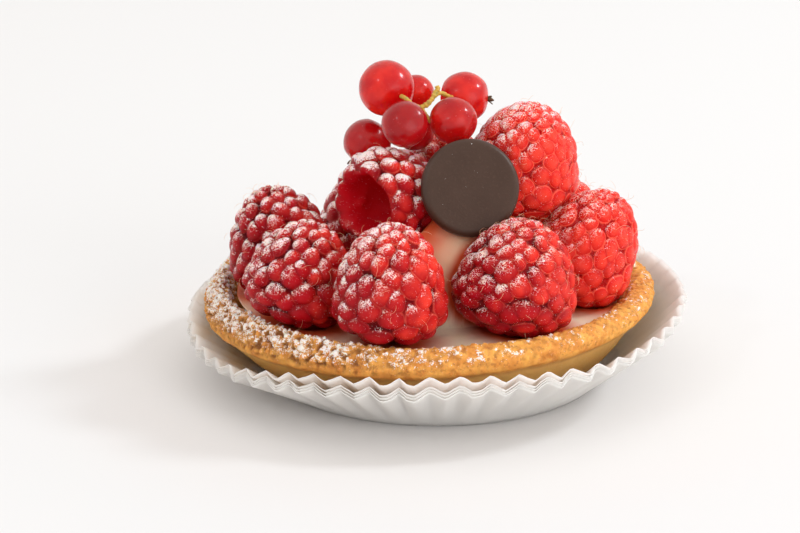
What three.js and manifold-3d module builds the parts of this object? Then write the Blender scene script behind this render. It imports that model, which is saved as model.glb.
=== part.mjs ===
// A raspberry tartlet in a stack of four paper cases, in millimetres, with +Z up.
// A baked shortcrust shell holds a cream filling piped up into a mound. Eight raspberries stand in a ring
// on the filling, three lie on top of them, and a sprig of redcurrants and a chocolate disc crown the pile.
// The origin is the centre of the paper base, on the surface it stands on.
// -Y is the side that faces the viewer.
import * as THREE from "three";
import { mergeVertices } from "three/addons/utils/BufferGeometryUtils.js";
import { ConvexHull } from "three/addons/math/ConvexHull.js";
import Module from "manifold-3d";

const wasm = await Module();
wasm.setup();

// Driving dimensions

const CONTACT_GAP = 0.32; // room left between pieces that touch
const GOLDEN_ANGLE = Math.PI * (3 - Math.sqrt(5));

// Paper cases, counted from the outside in. The innermost one stands up a little taller than the rest.
const PAPER_FOLDS = 112; // inner and outer folds together
const PAPER_BASE_RADIUS = 33.3;
const PAPER_RIM_RADIUS = 49.5;
const PAPER_RIM_HEIGHT = 12.35;
const PAPER_THICKNESS = 0.15;
const PAPER_PITCH = 0.38; // how far each nested case lies above the one outside it
const PAPER_FLUTE_DEPTH = 1.5; // from inner fold to outer fold, at the rim
const PAPER_TURN = -2.2; // degrees from +X to the first fold
const PAPER_TILT = 2.6; // the rim is this much higher at +X than at the middle
const PAPER_SAGS = [
  { azimuth: -148, depth: 1.3, spread: 21 }, // the rim has given way in front on the left
  { azimuth: -43, depth: 1.0, spread: 30 }, // and in front on the right
  { azimuth: -5, depth: -0.9, spread: 30 }, // the outer cases are pushed up here
  { azimuth: 75, depth: 0, spread: 34 },
];
const PAPER_CASES = [
  { name: "paper_case_1", extraHeight: 0 },
  { name: "paper_case_2", extraHeight: 0.05 },
  { name: "paper_case_3", extraHeight: 0.1 },
  { name: "paper_case_4", extraHeight: 1.76 },
];

// Shortcrust shell
const SHELL_SEGMENTS = 48;
const SHELL_CENTRE_X = -1.5; // it sits a little to one side of its case
const SHELL_FLOOR = 1.65; // underside of the shell, just above the innermost case
const SHELL_SKEW = 0.04; // the lip hangs lower towards -X, by this share of its radius
const CREST_RADIUS = 41.3;
const CREST_HEIGHT = 19.2;
const LIP_RADIUS = 45.1;
const LIP_HEIGHT = 15.3;
const CREASE_RADIUS = 43.1; // under the lip, where the wall of the shell begins
const CREASE_HEIGHT = 13.3;
const SHELL_BASE_RADIUS = 31;
const SHELL_WALL = 3.4;
const SHELL_LIP_SLOPE = 2.4; // from the crest in to where the cream meets the wall
const RIM_WOBBLE = 0.25;

// Cream filling: a flat bed with a mound piped on it
const CREAM_LEVEL = 16.5;
const MOUND_CENTRE = new THREE.Vector2(2.6, -4.6);
const MOUND_RADIUS = 18.8;
const MOUND_TOP = 36.5;
const MOUND_DEPTH = 4; // how far it reaches down into the bed, so that the two are one
const MOUND_STEPS = 5;
const MOUND_SEGMENTS = 28;

// Raspberries. Each stands at `at`, points its tip along `tip`, and is `width` across and `length` long.
const DRUPELETS = 70;
const DRUPELET_NUDGE = { height: 0.03, turn: 0.12 }; // how far chance moves one from its even place
const DRUPELET_RISE = 1.25; // from the groove between drupelets to the top of one
const BERRY_TAPER = 0.13;
const BERRY_FULLNESS = 0.28; // and this much wider again towards its base
const RASPBERRIES = [
  { name: "raspberry_left", at: [-31.2, -0.1, 26.6], tip: [-0.2, 0.1, 1], width: 20.4, length: 22.4 },
  { name: "raspberry_front_left", at: [-25.9, -20.3, 26.2], tip: [0.3, 0.25, 1], width: 20.2, length: 21.0 },
  { name: "raspberry_front", at: [-8.9, -32.0, 28.0], tip: [0.05, 0.15, 1], width: 20.8, length: 23.4 },
  { name: "raspberry_front_right", at: [14.9, -25.3, 27.1], tip: [0.2, 0.25, 1], width: 22.6, length: 22.8 },
  { name: "raspberry_right", at: [29.6, -7.4, 27.6], tip: [0.5, 0.1, 1], width: 20.0, length: 24.0 },
  { name: "raspberry_back_right", at: [24.4, 15.8, 26.2], tip: [-0.3, -0.2, 1], width: 20.2, length: 21.2 },
  { name: "raspberry_back", at: [7.4, 28.2, 26.4], tip: [-0.1, -0.3, 1], width: 20.4, length: 21.6 },
  { name: "raspberry_back_left", at: [-13.3, 19.8, 26.0], tip: [0.2, -0.3, 1], width: 19.8, length: 21.2 },
  { name: "raspberry_top_right", at: [17.3, -0.9, 43.8], tip: [0.18, -0.15, 1], width: 21.6, length: 22.8 },
  { name: "raspberry_top_left", at: [-8.0, -7.2, 36.9], tip: [0.72, 0.69, 0], width: 20.9, length: 21.0 },
  { name: "raspberry_top_back", at: [1.8, 11.6, 36.4], tip: [0.1, 0.5, 1], width: 19.2, length: 20.4 },
];
const HOLLOW_BERRY = "raspberry_top_left"; // it lies on its side, with its base to the viewer
const HOLLOW_SEGMENTS = 16;
const HOLLOW_MOUTH_RADIUS = 6.2; // the plug that stayed on the plant left this in a raspberry's base
const HOLLOW_DEPTH = 14.5;

// Redcurrants. `calyx` points from the pedicel through the berry to the withered flower on its far side.
const CURRANTS = [
  { name: "redcurrant_upper_left", at: [-9.8, 2.0, 57.0], radius: 5.5, calyx: [-0.4, 0.85, 0.35] },
  { name: "redcurrant_upper_back", at: [-4.0, 8.9, 54.4], radius: 3.6, calyx: [0, 0.9, 0.4] },
  { name: "redcurrant_upper_right", at: [5.5, 4.5, 54.6], radius: 5, calyx: [0.97, -0.2, -0.02] },
  { name: "redcurrant_middle", at: [-6.3, -9.5, 52.7], radius: 4.5, calyx: [-0.3, 0.8, -0.5] },
  { name: "redcurrant_front", at: [3.1, -6.0, 52.5], radius: 4.6, calyx: [0.4, 0.6, -0.7] },
  { name: "redcurrant_left", at: [-13.7, 4.1, 45.4], radius: 4.75, calyx: [-0.6, -0.25, -0.76] },
  { name: "redcurrant_lower", at: [-4.4, 4.6, 47.9], radius: 4.1, calyx: [0.2, 0.6, -0.7] },
];
const CURRANT_COLUMNS = 12;
const CURRANT_ROWS = 8;
const CALYX_POINTS = 5;
const CALYX_LENGTH = 1.4;
const CALYX_RADIUS = 0.8; // at its ragged end
const CALYX_FOOT_RADIUS = 0.5;
const SPRIG_NODE = [-3.3, -5.5, 54.9]; // where the pedicels meet the main stalk
const SPRIG_TOP = [0.0, -3.6, 58.4];
const SPRIG_BEND = [-1.3, -4.7, 56.1];
const STALK_RADIUS = 0.48;
const PEDICEL_RADIUS = 0.38;
const STALK_STEPS = 3; // along each stalk, and to each half of its round section

// Chocolate disc, leaning back so that its face looks at the viewer
const DISC_CENTRE = [6.1, -16.7, 42.05];
const DISC_FACE = [0.1, -0.91, 0.39];
const DISC_RADIUS = 9.4;
const DISC_THICKNESS = 3.2;
const DISC_EDGE_RADIUS = 1.2;
const DISC_EDGE_STEPS = 3;
const DISC_BACK_BEVEL = 0.5;
const DISC_SEGMENTS = 32;

const MATERIALS = {
  paper: new THREE.MeshStandardMaterial({ color: 0xf4f1ea, roughness: 0.8, metalness: 0 }),
  pastry: new THREE.MeshStandardMaterial({ color: 0xc98a3c, roughness: 0.75, metalness: 0 }),
  cream: new THREE.MeshStandardMaterial({ color: 0xf3dfb8, roughness: 0.45, metalness: 0 }),
  raspberry: new THREE.MeshStandardMaterial({ color: 0xb8121c, roughness: 0.4, metalness: 0 }),
  redcurrant: new THREE.MeshStandardMaterial({ color: 0xc4101a, roughness: 0.18, metalness: 0 }),
  stalk: new THREE.MeshStandardMaterial({ color: 0x9c8a2c, roughness: 0.6, metalness: 0 }),
  chocolate: new THREE.MeshStandardMaterial({ color: 0x35241f, roughness: 0.4, metalness: 0 }),
};

// Helpers for solids

const vector = (xyz) => new THREE.Vector3(...xyz);

/** A repeatable number from 0 to 1 for a pair of whole numbers. */
function chance(index, series) {
  const wave = Math.sin(index * 12.9898 + series * 78.233) * 43758.5453;
  return wave - Math.floor(wave);
}

/** Only the positions of a geometry, with coincident corners joined. */
function joined(geometry) {
  const bare = new THREE.BufferGeometry();
  bare.setAttribute("position", geometry.getAttribute("position"));
  if (geometry.index) bare.setIndex(geometry.index);
  return mergeVertices(bare, 1e-4);
}

function toSolid(geometry) {
  const { attributes, index } = joined(geometry);
  const mesh = new wasm.Mesh({
    numProp: 3,
    vertProperties: new Float32Array(attributes.position.array),
    triVerts: new Uint32Array(index.array),
  });
  return new wasm.Manifold(mesh);
}

function toGeometry(solid) {
  const mesh = solid.getMesh();
  const geometry = new THREE.BufferGeometry();
  geometry.setAttribute("position", new THREE.BufferAttribute(new Float32Array(mesh.vertProperties), 3));
  geometry.setIndex(new THREE.BufferAttribute(new Uint32Array(mesh.triVerts), 1));
  return geometry;
}

/** Moves every corner of a geometry by a function that changes the vector it is given. */
function reshape(geometry, move) {
  const positions = geometry.getAttribute("position");
  const corner = new THREE.Vector3();
  for (let i = 0; i < positions.count; i++) {
    corner.fromBufferAttribute(positions, i);
    move(corner);
    positions.setXYZ(i, corner.x, corner.y, corner.z);
  }
  return geometry;
}

/** A solid of revolution about Z from [radius, height] pairs that run from the bottom up. */
function turned(profile, segments) {
  const points = profile.map(([radius, height]) => new THREE.Vector2(radius, height));
  const lathe = joined(new THREE.LatheGeometry(points, segments));
  return lathe.rotateX(Math.PI / 2);
}

/** The rotation that brings +Z onto a direction. */
function facing(direction) {
  const up = new THREE.Vector3(0, 0, 1);
  return new THREE.Quaternion().setFromUnitVectors(up, vector(direction).normalize());
}

function placed(geometry, at, direction) {
  const pose = new THREE.Matrix4().compose(vector(at), facing(direction), new THREE.Vector3(1, 1, 1));
  return geometry.applyMatrix4(pose);
}

function mesh(name, geometry, material) {
  const piece = new THREE.Mesh(geometry, material);
  piece.name = name;
  return piece;
}

// Paper cases

/** The height of a case's rim above its own base, at an angle. Where it sags, no case stands taller. */
function rimHeight(extraHeight, angle) {
  let height = PAPER_RIM_HEIGHT + PAPER_TILT * Math.cos(angle);
  let sagging = 0;
  for (const { azimuth, depth, spread } of PAPER_SAGS) {
    const turn = THREE.MathUtils.radToDeg(angle) - azimuth;
    const away = THREE.MathUtils.euclideanModulo(turn + 180, 360) - 180;
    const near = Math.exp(-((away / spread) ** 2));
    height -= depth * near;
    sagging += near;
  }
  return height + extraHeight * (1 - Math.min(1, sagging));
}

/** A ring of points on a case's slanted wall, from its base (share 0) to its folded rim (share 1). */
function wallRing(floor, extraHeight, share) {
  return Array.from({ length: PAPER_FOLDS }, (_, fold) => {
    const angle = (fold * 2 * Math.PI) / PAPER_FOLDS + THREE.MathUtils.degToRad(PAPER_TURN);
    const run = PAPER_RIM_RADIUS - PAPER_BASE_RADIUS;
    const climb = rimHeight(extraHeight, angle);
    const slant = Math.hypot(run, climb);
    const outward = (fold % 2 ? 0.5 : -0.5) * PAPER_FLUTE_DEPTH * share;
    const radius = PAPER_BASE_RADIUS + run * share + (outward * climb) / slant;
    const height = climb * share - (outward * run) / slant;
    return new THREE.Vector3(radius * Math.cos(angle), radius * Math.sin(angle), floor + height);
  });
}

/** A pleated case: a sheet and its copy one thickness higher, closed along the rim. */
function paperCase({ extraHeight }, order) {
  const floor = order * PAPER_PITCH;
  const middle = new THREE.Vector3(0, 0, floor);
  const lower = [middle, ...wallRing(floor, extraHeight, 0), ...wallRing(floor, extraHeight, 1)];
  const upper = lower.map((point) => point.clone().setZ(point.z + PAPER_THICKNESS));
  const count = lower.length;
  const faces = [];
  const bothSides = (a, b, c) => faces.push(a, b, c, count + a, count + c, count + b);
  for (let fold = 0; fold < PAPER_FOLDS; fold++) {
    const next = (fold + 1) % PAPER_FOLDS;
    const [base, nextBase] = [1 + fold, 1 + next];
    const [rim, nextRim] = [base + PAPER_FOLDS, nextBase + PAPER_FOLDS];
    bothSides(0, nextBase, base);
    bothSides(base, nextRim, rim);
    bothSides(base, nextBase, nextRim);
    faces.push(rim, nextRim, count + nextRim, rim, count + nextRim, count + rim);
  }
  const geometry = new THREE.BufferGeometry().setFromPoints([...lower, ...upper]);
  geometry.setIndex(faces);
  return geometry;
}

// Shortcrust shell

/** The shell's section: up the outer wall, over the lip and the crest, and down the inner wall. */
function shellProfile() {
  return [
    [0, SHELL_FLOOR],
    [SHELL_BASE_RADIUS, SHELL_FLOOR],
    [SHELL_BASE_RADIUS + 2, SHELL_FLOOR + 0.9],
    [SHELL_BASE_RADIUS + 4.2, SHELL_FLOOR + 2.8],
    [SHELL_BASE_RADIUS + 6.8, SHELL_FLOOR + 5.4],
    [CREASE_RADIUS, CREASE_HEIGHT],
    [LIP_RADIUS - 0.6, CREASE_HEIGHT + 0.7],
    [LIP_RADIUS, LIP_HEIGHT],
    [LIP_RADIUS - 1.1, LIP_HEIGHT + 2.7],
    [CREST_RADIUS + 0.9, CREST_HEIGHT - 0.1],
    [CREST_RADIUS - 0.6, CREST_HEIGHT - 0.3],
    [CREST_RADIUS - SHELL_LIP_SLOPE, CREAM_LEVEL],
    [SHELL_BASE_RADIUS, SHELL_FLOOR + SHELL_WALL + 1],
    [SHELL_BASE_RADIUS - 3, SHELL_FLOOR + SHELL_WALL],
    [0, SHELL_FLOOR + SHELL_WALL],
  ];
}

/** The hand-lined rim is never quite round or level, and its lip hangs lower on one side. */
function unevenRim(corner) {
  const angle = Math.atan2(corner.y, corner.x);
  const share = THREE.MathUtils.clamp((corner.z - SHELL_FLOOR) / (CREST_HEIGHT - SHELL_FLOOR), 0, 1);
  const ripple = Math.sin(3 * angle + 0.6) + 0.7 * Math.sin(7 * angle + 2) + 0.5 * Math.sin(13 * angle);
  const stretch = 1 + (RIM_WOBBLE * share * ripple) / LIP_RADIUS / 2;
  const lift = RIM_WOBBLE * share ** 3 * (Math.sin(5 * angle + 1) + 0.6 * Math.sin(11 * angle + 4)) * 0.6;
  corner.z += SHELL_SKEW * Math.sin(Math.PI * share ** 2) * corner.x + lift;
  corner.x *= stretch;
  corner.y *= stretch;
}

function pastryShell() {
  const shell = reshape(turned(shellProfile(), SHELL_SEGMENTS), unevenRim);
  return shell.translate(SHELL_CENTRE_X, 0, 0);
}

// Raspberries

/** Directions spread evenly over a sphere in a spiral from tip to base, each nudged by chance. */
function drupeletDirections(series) {
  return Array.from({ length: DRUPELETS }, (_, i) => {
    const height = 1 - (2 * (i + 0.5)) / DRUPELETS + (chance(i, series) - 0.5) * DRUPELET_NUDGE.height;
    const turn = i * GOLDEN_ANGLE + series + (chance(i, series + 50) - 0.5) * DRUPELET_NUDGE.turn;
    const across = Math.sqrt(Math.max(0, 1 - height * height));
    return new THREE.Vector3(across * Math.cos(turn), across * Math.sin(turn), height);
  });
}

/** A point of the berry's thimble shape in a direction, `sink` below its outer size. */
function berryPoint(direction, { width, length }, sink) {
  const spread = 1 - BERRY_TAPER * direction.z + BERRY_FULLNESS * Math.max(0, -direction.z);
  const across = (width / 2 - sink) * spread;
  return new THREE.Vector3(direction.x * across, direction.y * across, direction.z * (length / 2 - sink));
}

/**
 * A raspberry: each drupelet is a hip over its own cell, and the cells' corners are the grooves.
 * The hull of the drupelets' directions says which ones are neighbours.
 */
function raspberryBody(berry, series) {
  const tops = drupeletDirections(series);
  const hull = new ConvexHull().setFromPoints(tops);
  const grooves = new Map();
  const corners = tops.map((top) => berryPoint(top, berry, 0));
  for (const face of hull.faces) {
    const { a, b, c } = facePoints(face);
    grooves.set(face, corners.length);
    const middle = new THREE.Vector3().add(a).add(b).add(c).normalize();
    corners.push(berryPoint(middle, berry, DRUPELET_RISE));
  }
  const indexOf = new Map(tops.map((top, i) => [top, i]));
  const faces = [];
  for (const face of hull.faces) {
    let edge = face.edge;
    do {
      faces.push(indexOf.get(edge.head().point), grooves.get(face), grooves.get(edge.twin.face));
      edge = edge.next;
    } while (edge !== face.edge);
  }
  const geometry = new THREE.BufferGeometry().setFromPoints(corners);
  geometry.setIndex(faces);
  return toSolid(geometry);
}

function facePoints(face) {
  const edge = face.edge;
  return { a: edge.head().point, b: edge.next.head().point, c: edge.prev.head().point };
}

/** The hollow that the plug left, from below the base up towards the tip. */
function berryHollow({ length }) {
  const mouth = -length / 2;
  const profile = [
    [0, mouth - 3],
    [HOLLOW_MOUTH_RADIUS + 1.6, mouth - 3],
    [HOLLOW_MOUTH_RADIUS, mouth + 2],
    [HOLLOW_MOUTH_RADIUS * 0.86, mouth + HOLLOW_DEPTH * 0.55],
    [HOLLOW_MOUTH_RADIUS * 0.5, mouth + HOLLOW_DEPTH * 0.9],
    [0, mouth + HOLLOW_DEPTH],
  ];
  return toSolid(turned(profile, HOLLOW_SEGMENTS));
}

function raspberry(berry, order) {
  let body = raspberryBody(berry, order + 1);
  if (berry.name === HOLLOW_BERRY) body = body.subtract(berryHollow(berry));
  return placed(toGeometry(body), berry.at, berry.tip);
}

/** A smooth body just larger than a berry, which presses its place into the cream. */
function berryDent(berry) {
  const roundness = 1.04; // the flat faces of the body lie this much inside its corners
  const dent = new THREE.SphereGeometry(1, 12, 7).rotateX(Math.PI / 2);
  reshape(dent, (corner) => corner.copy(berryPoint(corner, berry, -CONTACT_GAP)).multiplyScalar(roundness));
  return toSolid(placed(dent, berry.at, berry.tip));
}

// Cream filling

/** The flat bed: it fills the shell, just clear of its inner wall, and follows the uneven rim. */
function creamBed() {
  const floor = SHELL_FLOOR + SHELL_WALL + CONTACT_GAP;
  const profile = [
    [0, floor],
    [SHELL_BASE_RADIUS - 3, floor],
    [SHELL_BASE_RADIUS - 2 * CONTACT_GAP, floor + 1],
    [CREST_RADIUS - SHELL_LIP_SLOPE - 1.6 * CONTACT_GAP, CREAM_LEVEL],
    [0, CREAM_LEVEL],
  ];
  return reshape(turned(profile, SHELL_SEGMENTS), unevenRim).translate(SHELL_CENTRE_X, 0, 0);
}

/** The piped mound in the middle: steep sides and a broad top. */
function creamMound() {
  const profile = [[0, CREAM_LEVEL - MOUND_DEPTH], [MOUND_RADIUS, CREAM_LEVEL - MOUND_DEPTH]];
  for (let step = 0; step < MOUND_STEPS; step++) {
    const turn = ((step / MOUND_STEPS) * Math.PI) / 2;
    const radius = MOUND_RADIUS * Math.cos(turn) ** 0.5;
    profile.push([radius, CREAM_LEVEL + (MOUND_TOP - CREAM_LEVEL) * Math.sin(turn) ** 0.9]);
  }
  profile.push([0, MOUND_TOP]);
  return turned(profile, MOUND_SEGMENTS).translate(MOUND_CENTRE.x, MOUND_CENTRE.y, 0);
}

/** The largest of the bodies that a solid is made of: cutting can leave crumbs beside it. */
function mainBody(solid) {
  const bodies = solid.decompose();
  return bodies.reduce((largest, body) => (body.volume() > largest.volume() ? body : largest));
}

function creamFilling() {
  let filling = toSolid(creamBed()).add(toSolid(creamMound()));
  for (const berry of RASPBERRIES) filling = filling.subtract(berryDent(berry));
  filling = filling.subtract(toSolid(chocolateDisc(CONTACT_GAP)));
  return toGeometry(mainBody(filling));
}

// Redcurrants and their sprig

/** The withered flower at the end of a currant: a small ragged cone of five points. */
function calyxTuft(radius) {
  const tuft = new THREE.CylinderGeometry(CALYX_RADIUS, CALYX_FOOT_RADIUS, CALYX_LENGTH, CALYX_POINTS);
  return toSolid(tuft.rotateX(Math.PI / 2).translate(0, 0, radius + CALYX_LENGTH / 4));
}

function redcurrant({ at, radius, calyx }) {
  const ball = new THREE.SphereGeometry(radius, CURRANT_COLUMNS, CURRANT_ROWS).rotateX(Math.PI / 2);
  return placed(toGeometry(toSolid(ball).add(calyxTuft(radius))), at, calyx);
}

/** A round stalk along a smooth line through some points. */
function stalk(points, radius) {
  const path = new THREE.CatmullRomCurve3(points);
  const section = new THREE.Shape().absarc(0, 0, radius, 0, 2 * Math.PI);
  const options = { extrudePath: path, steps: STALK_STEPS, curveSegments: STALK_STEPS, bevelEnabled: false };
  return toSolid(new THREE.ExtrudeGeometry(section, options));
}

/** The main stalk with one pedicel for each currant, ending just short of its skin. */
function currantSprig() {
  const node = vector(SPRIG_NODE);
  const below = new THREE.Vector3(node.x - 0.6, node.y + 2.6, node.z - 3.4);
  let sprig = stalk([vector(SPRIG_TOP), vector(SPRIG_BEND), node, below], STALK_RADIUS);
  for (const { at, radius, calyx } of CURRANTS) {
    const end = vector(at).addScaledVector(vector(calyx).normalize(), -radius * 0.9);
    const start = end.z > node.z ? vector(SPRIG_BEND) : end.z < below.z ? below : node;
    const sag = start.clone().lerp(end, 0.5).addScaledVector(vector(calyx).normalize(), -0.5);
    sprig = sprig.add(stalk([start, sag, end], PEDICEL_RADIUS));
  }
  for (const { at, radius } of CURRANTS) {
    const room = new THREE.SphereGeometry(radius + 1.6 * CONTACT_GAP, CURRANT_COLUMNS, CURRANT_ROWS);
    sprig = sprig.subtract(toSolid(room.translate(...at)));
  }
  return toGeometry(mainBody(sprig));
}

// Chocolate disc

function chocolateDisc(extra = 0) {
  const radius = DISC_RADIUS + extra;
  const half = DISC_THICKNESS / 2 + extra;
  const profile = [[0, -half], [radius - DISC_BACK_BEVEL, -half], [radius, -half + DISC_BACK_BEVEL]];
  for (let step = 0; step <= DISC_EDGE_STEPS; step++) {
    const turn = (step / DISC_EDGE_STEPS) * (Math.PI / 2);
    const inset = DISC_EDGE_RADIUS * (1 - Math.cos(turn));
    profile.push([radius - inset, half - DISC_EDGE_RADIUS * (1 - Math.sin(turn))]);
  }
  profile.push([0, half]);
  return placed(turned(profile, DISC_SEGMENTS), DISC_CENTRE, DISC_FACE);
}

// Assembly

const tartlet = new THREE.Group();
PAPER_CASES.forEach((size, order) => {
  tartlet.add(mesh(size.name, paperCase(size, order), MATERIALS.paper));
});
tartlet.add(mesh("pastry_shell", pastryShell(), MATERIALS.pastry));
tartlet.add(mesh("cream_filling", creamFilling(), MATERIALS.cream));
RASPBERRIES.forEach((berry, order) => {
  tartlet.add(mesh(berry.name, raspberry(berry, order), MATERIALS.raspberry));
});
CURRANTS.forEach((currant) => {
  tartlet.add(mesh(currant.name, redcurrant(currant), MATERIALS.redcurrant));
});
tartlet.add(mesh("currant_sprig", currantSprig(), MATERIALS.stalk));
tartlet.add(mesh("chocolate_disc", chocolateDisc(), MATERIALS.chocolate));

export default tartlet;
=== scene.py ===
import math

import bpy
import numpy as np
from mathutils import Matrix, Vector, noise


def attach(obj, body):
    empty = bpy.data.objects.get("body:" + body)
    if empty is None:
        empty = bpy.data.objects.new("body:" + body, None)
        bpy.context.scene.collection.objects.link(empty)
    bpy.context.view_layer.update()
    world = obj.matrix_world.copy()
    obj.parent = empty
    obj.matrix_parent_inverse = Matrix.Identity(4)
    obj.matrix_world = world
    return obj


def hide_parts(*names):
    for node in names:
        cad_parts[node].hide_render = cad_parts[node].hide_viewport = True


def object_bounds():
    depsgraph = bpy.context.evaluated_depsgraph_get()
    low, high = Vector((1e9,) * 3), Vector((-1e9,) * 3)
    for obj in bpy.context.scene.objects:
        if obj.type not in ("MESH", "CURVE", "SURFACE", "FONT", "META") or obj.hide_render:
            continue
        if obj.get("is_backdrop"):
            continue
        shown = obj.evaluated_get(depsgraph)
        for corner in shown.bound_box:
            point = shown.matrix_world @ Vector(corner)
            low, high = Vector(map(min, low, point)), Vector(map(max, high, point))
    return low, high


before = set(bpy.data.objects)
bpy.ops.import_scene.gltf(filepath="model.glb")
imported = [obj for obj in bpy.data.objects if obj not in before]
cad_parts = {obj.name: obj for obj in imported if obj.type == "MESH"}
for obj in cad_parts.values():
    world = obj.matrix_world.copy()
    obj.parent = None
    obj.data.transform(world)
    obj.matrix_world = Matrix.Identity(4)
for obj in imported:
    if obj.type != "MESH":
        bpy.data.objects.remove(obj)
cad_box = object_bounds()

# The camera looks straight across the tartlet from a little above it, through a long lens,
# so that the rim of the paper cases is a flat ellipse. Its place and distance are metres, and
# its lens and sensor are millimetres.
AIM = Vector((-0.0072, 0, 0.0209))
CAMERA_DISTANCE = 0.45
CAMERA_ELEVATION = math.radians(18.1)
LENS = 101.25
SENSOR_WIDTH = 36
camera = bpy.data.objects.new("camera", bpy.data.cameras.new("camera"))
camera.data.lens = LENS
camera.data.sensor_width = SENSOR_WIDTH
back = Vector((0, -math.cos(CAMERA_ELEVATION), math.sin(CAMERA_ELEVATION)))
camera.location = AIM + back * CAMERA_DISTANCE
camera.rotation_euler = (math.pi / 2 - CAMERA_ELEVATION, 0, 0)
bpy.context.scene.collection.objects.link(camera)
bpy.context.scene.camera = camera

# Four paper baking cases, nested in a stack. Each is one thin sheet of white greaseproof paper,
# pressed into 56 rounded flutes that die away at the flat base, and a little out of true.
# Lengths from here on are millimetres; MM turns them into metres for a mesh or a material.
MM = 0.001
PAPER_FOLDS = 112
PAPER_BASE_RINGS = (0.5, 12, 24, 31.5)
PAPER_BASE_RADIUS = 33.3
PAPER_RIM_RADIUS = 49.5
PAPER_RIM_HEIGHT = 12.35
PAPER_THICKNESS = 0.13
PAPER_PITCH = 0.38
PAPER_DROP = 0.1
PAPER_TURN = math.radians(-2.2)
PAPER_TILT = 2.6
# (direction in degrees, how far the rim sags there, how many degrees the sag spreads)
PAPER_SAGS = [(-148, 1.3, 21), (-43, 1.0, 30), (-5, -0.9, 30), (75, 0, 34)]
# how far each rim stands above the outermost one, away from the sags
PAPER_EXTRA_HEIGHTS = [0, 0.2, 0.4, 1.95]
FLUTE_DEPTH = 1.5
FLUTE_SHARPNESS = 0.98
FLUTE_WANDER = 0.22
FLUTE_UNEVENNESS = 0.25
WALL_SWELL = 0.35
WALL_CRINKLE = 0.10
# grease from the crust in the inner papers: it fades between these radii, and towards the
# right between these distances left of the middle; the outer papers are clean
GREASE_CENTRE_X = -1.5
GREASE_RADII = (49, 43)
GREASE_SIDE = (2, 34)
CLEAN_PAPERS = 2
COLUMNS_PER_FOLD = 4
PAPER_ROWS = 18


class Mask:
    """A number that varies over a surface; arithmetic on it adds Math nodes."""

    def __init__(self, finish, socket):
        self.finish, self.socket = finish, socket

    def math(self, operation, *values):
        """One Math node, and the number that it gives."""
        return self.finish.node("ShaderNodeMath", {"operation": operation}, dict(enumerate(values)))

    def __add__(self, other):
        return self.math("ADD", self, other)

    __radd__ = __add__

    def __sub__(self, other):
        return self.math("SUBTRACT", self, other)

    def __rsub__(self, other):
        return self.math("SUBTRACT", other, self)

    def __mul__(self, other):
        return self.math("MULTIPLY", self, other)

    __rmul__ = __mul__

    def between(self, low, high):
        """0 below the first limit, 1 above the second, and a smooth step between them."""
        settings = {"interpolation_type": "SMOOTHSTEP"}
        sockets = {"Value": self, "From Min": low, "From Max": high}
        return self.finish.node("ShaderNodeMapRange", settings, sockets)


class Finish:
    """One material, mixed from nodes."""

    def __init__(self, name):
        self.material = bpy.data.materials.new(name)
        self.material.use_nodes = True
        self.tree = self.material.node_tree
        self.tree.nodes.clear()
        self.place = self.node("ShaderNodeTexCoord", output="Object")

    def node(self, kind, settings=None, sockets=None, output=0):
        """Adds a node, makes its settings, fills its sockets and returns one of its outputs."""
        made = self.tree.nodes.new(kind)
        for setting, value in (settings or {}).items():
            if setting == "stops":
                while len(made.color_ramp.elements) < len(value):
                    made.color_ramp.elements.new(1)
                for element, (position, colour) in zip(made.color_ramp.elements, value):
                    element.position, element.color = position, (*colour, 1)
            else:
                setattr(made, setting, value)
        for socket, value in (sockets or {}).items():
            if isinstance(value, Mask):
                self.tree.links.new(value.socket, made.inputs[socket])
            elif isinstance(value, tuple) and made.inputs[socket].type == "RGBA":
                made.inputs[socket].default_value = (*value, 1)
            else:
                made.inputs[socket].default_value = value
        return Mask(self, made.outputs[output]) if made.outputs else None

    def speckle(self, size, detail=2.0, roughness=0.5, seed=0):
        """Noise from 0 to 1 whose spots are about this many millimetres across."""
        place = self.node(
            "ShaderNodeVectorMath", {"operation": "ADD"}, {0: self.place, 1: (seed, -seed, seed)}
        )
        sockets = {"Vector": place, "Scale": 1 / (size * MM)}
        sockets |= {"Detail": detail, "Roughness": roughness}
        return self.node("ShaderNodeTexNoise", sockets=sockets)

    def made_from(self, attribute):
        """A value that was worked out with the mesh and kept on its points."""
        return self.node("ShaderNodeAttribute", {"attribute_name": attribute}, output="Fac")

    def mix(self, factor, first, second):
        """Two colours mixed, the second one where the factor is 1."""
        settings = {"data_type": "RGBA"}
        return self.node("ShaderNodeMix", settings, {0: factor, 6: first, 7: second}, output=2)

    def bump(self, height, depth):
        """A relief of this many millimetres, as a normal."""
        sockets = {"Height": height, "Distance": depth * MM, "Strength": 1.0}
        return self.node("ShaderNodeBump", sockets=sockets)

    def principled(self, **sockets):
        """A Principled shader; the underscores in its sockets' names stand for spaces."""
        named = {socket.replace("_", " "): value for socket, value in sockets.items()}
        return self.node("ShaderNodeBsdfPrincipled", sockets=named)

    def done(self, shader):
        """The finished material, with this shader on its surface."""
        self.node("ShaderNodeOutputMaterial", sockets={"Surface": shader})
        return self.material

    def skin(self, **sockets):
        """The finished material, from one Principled shader."""
        return self.done(self.principled(**sockets))


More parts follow.
